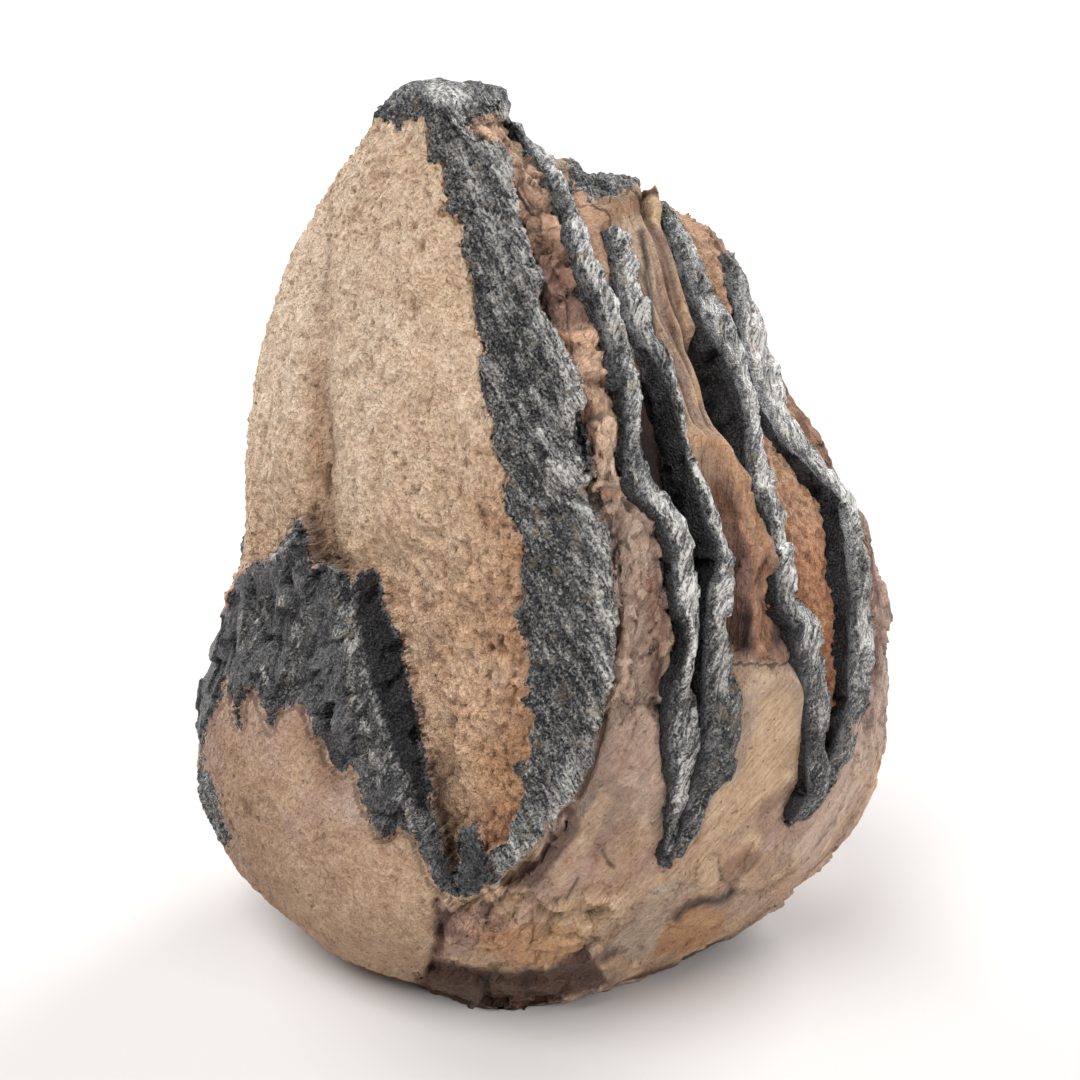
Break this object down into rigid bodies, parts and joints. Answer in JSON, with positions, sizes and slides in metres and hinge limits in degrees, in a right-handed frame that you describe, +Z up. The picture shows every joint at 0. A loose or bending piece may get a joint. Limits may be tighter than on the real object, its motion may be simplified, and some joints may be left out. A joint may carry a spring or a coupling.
{
  "type": "fossil mammoth molar",
  "caption": "Partial fossil mammoth molar standing on its root base, with dark ridged enamel walls between tan dentine and cement.",
  "frame": {"origin": "a point in the middle of the flat footprint, on the surface that the tooth stands on", "axes": "+Z up from the root base to the crown's tip, X along the stack of plates with the bare end face at -X, Y across the tooth along the plates"},
  "size_m": [0.0663, 0.0658, 0.0947],
  "materials": {
    "fossil_tooth": "matt grainy tan dentine and brown cement, crossed by glossy slate-black broken enamel"
  },
  "bodies": {
    "root": {"molar": "fossil_tooth"}
  },
  "joints": []
}
